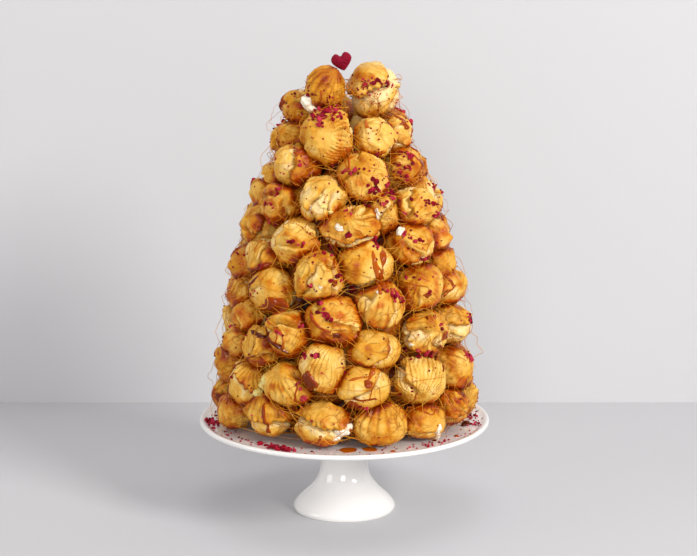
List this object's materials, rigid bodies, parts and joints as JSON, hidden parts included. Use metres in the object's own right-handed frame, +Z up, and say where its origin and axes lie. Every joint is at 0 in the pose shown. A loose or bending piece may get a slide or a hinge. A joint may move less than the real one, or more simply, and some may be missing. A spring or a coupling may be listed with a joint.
{
  "type": "croquembouche",
  "caption": "Cone-shaped tower of cream-filled choux buns bound with caramel and spun sugar, topped with a fruit heart, on a white footed cake stand.",
  "frame": {"origin": "centre of the stand's foot, on the surface that the stand rests on", "axes": "+Z up along the tower's axis; -Y is the side with the named buns, the shown side; +X to its right"},
  "size_m": [0.3, 0.3, 0.4766],
  "materials": {
    "choux": "golden baked crust, satin with a thin sugar glaze",
    "caramel": "glossy hard-crack caramel",
    "dried_fruit": "rough freeze-dried fruit",
    "spun_sugar": "hair-fine clear golden sugar threads",
    "cream": "soft whipped cream and custard",
    "porcelain": "glossy white glaze"
  },
  "bodies": {
    "root": {"back_buns_01_02": "choux", "back_buns_03_04": "choux", "back_buns_05_06": "choux", "back_buns_07_08": "choux", "back_buns_09_10": "choux", "bun_01_1": "choux", "bun_01_2": "choux", "bun_01_3": "choux", "bun_01_4": "choux", "bun_01_5": "choux", "bun_01_6": "choux", "bun_01_7": "choux", "bun_01_8": "choux", "bun_02_1": "choux", "bun_02_2": "choux", "bun_02_3": "choux", "bun_02_4": "choux", "bun_02_5": "choux", "bun_02_6": "choux", "bun_02_7": "choux", "bun_03_1": "choux", "bun_03_2": "choux", "bun_03_3": "choux", "bun_03_4": "choux", "bun_03_5": "choux", "bun_03_6": "choux", "bun_04_1": "choux", "bun_04_2": "choux", "bun_04_3": "choux", "bun_04_4": "choux", "bun_04_5": "choux", "bun_04_6": "choux", "bun_05_1": "choux", "bun_05_2": "choux", "bun_05_3": "choux", "bun_05_4": "choux", "bun_05_5": "choux", "bun_06_1": "choux", "bun_06_2": "choux", "bun_06_3": "choux", "bun_06_4": "choux", "bun_06_5": "choux", "bun_07_1": "choux", "bun_07_2": "choux", "bun_07_3": "choux", "bun_07_4": "choux", "bun_08_1": "choux", "bun_08_2": "choux", "bun_08_3": "choux", "bun_08_4": "choux", "bun_09_1": "choux", "bun_09_2": "choux", "bun_09_3": "choux", "bun_09_4": "choux", "bun_10_1": "choux", "bun_10_2": "choux", "bun_10_3": "choux", "cake_stand": "porcelain", "caramel_core": "caramel", "fruit_heart": "dried_fruit"}
  },
  "joints": []
}
